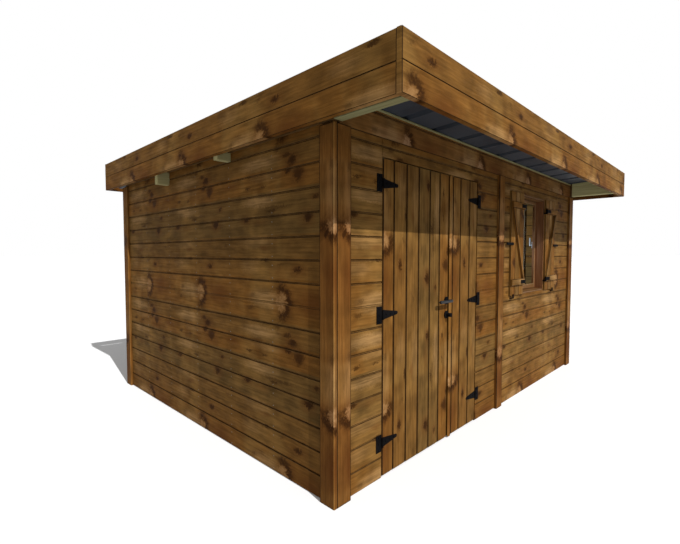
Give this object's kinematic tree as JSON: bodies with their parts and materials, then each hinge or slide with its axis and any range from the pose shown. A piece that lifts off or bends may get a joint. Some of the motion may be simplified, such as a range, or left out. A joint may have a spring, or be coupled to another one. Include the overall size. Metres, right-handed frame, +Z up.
{
  "type": "wooden garden shed",
  "caption": "Timber-clad garden shed with a flat-looking fascia box round a shallow ribbed metal roof, boarded double doors on strap hinges and a shuttered window.",
  "frame": {"origin": "middle of the object's box, at ground level", "axes": "+X to the right along the front, +Y from the front to the back, +Z up"},
  "size_m": [4.208, 3.66, 2.22],
  "materials": {
    "stained_wood": "brown stain, satin",
    "treated_wood": "green pressure-treated, sawn",
    "window_wood": "red-brown stain, satin",
    "roof_metal": "dark coated steel sheet",
    "black_iron": "black coated, satin",
    "pale_metal": "satin",
    "glass": "clear"
  },
  "bodies": {
    "shed": {"left_wall": "stained_wood", "right_wall": "stained_wood", "back_wall": "stained_wood", "front_wall_left_of_door": "stained_wood", "front_wall_over_door": "stained_wood", "front_wall_right_of_door": "stained_wood", "front_wall_window_panel": "stained_wood", "front_upper_wall": "stained_wood", "side_wall_studs": "treated_wood", "side_wall_plates": "treated_wood", "front_wall_studs": "treated_wood", "front_wall_plates": "treated_wood", "back_wall_studs": "treated_wood", "back_wall_plates": "treated_wood", "front_trim_boards": "stained_wood", "side_trim_boards": "stained_wood", "back_trim_boards": "stained_wood", "front_fascia_lower": "stained_wood", "front_fascia_upper": "stained_wood", "side_fascia_lower": "stained_wood", "side_fascia_upper": "stained_wood", "back_fascia_lower": "stained_wood", "back_fascia_upper": "stained_wood", "verge_beams": "treated_wood", "purlins": "treated_wood", "roof_sheets": "roof_metal", "window_liner": "window_wood", "window_casement": "window_wood", "window_glass": "glass", "window_handle": "pale_metal", "left_shutter": "stained_wood", "right_shutter": "stained_wood", "shutter_hinges": "black_iron", "shutter_catches": "black_iron", "door_hinge_plates": "black_iron"},
    "left_door": {"left_door_boards": "stained_wood", "left_door_ledges": "treated_wood", "left_door_straps": "black_iron", "left_door_lock": "black_iron"},
    "right_door": {"right_door_boards": "stained_wood", "right_door_ledges": "treated_wood", "right_door_straps": "black_iron", "right_door_strip": "stained_wood"},
    "lever": {"door_lever": "black_iron"}
  },
  "joints": [
    {"name": "left_door_hinge", "type": "hinge", "parent": "shed", "child": "left_door", "pos_m": [-1.5855, -1.3305, 0.97], "axis": [0, 0, -1], "range_deg": [0, 110]},
    {"name": "right_door_hinge", "type": "hinge", "parent": "shed", "child": "right_door", "pos_m": [-0.4145, -1.3305, 0.97], "axis": [0, 0, 1], "range_deg": [0, 110]},
    {"name": "lever_turn", "type": "hinge", "parent": "left_door", "child": "lever", "pos_m": [-0.8705, -1.35, 0.995], "axis": [0, -1, 0], "range_deg": [0, 40], "stiffness_Nm_per_rad": 1, "springref_deg": -28.65}
  ]
}
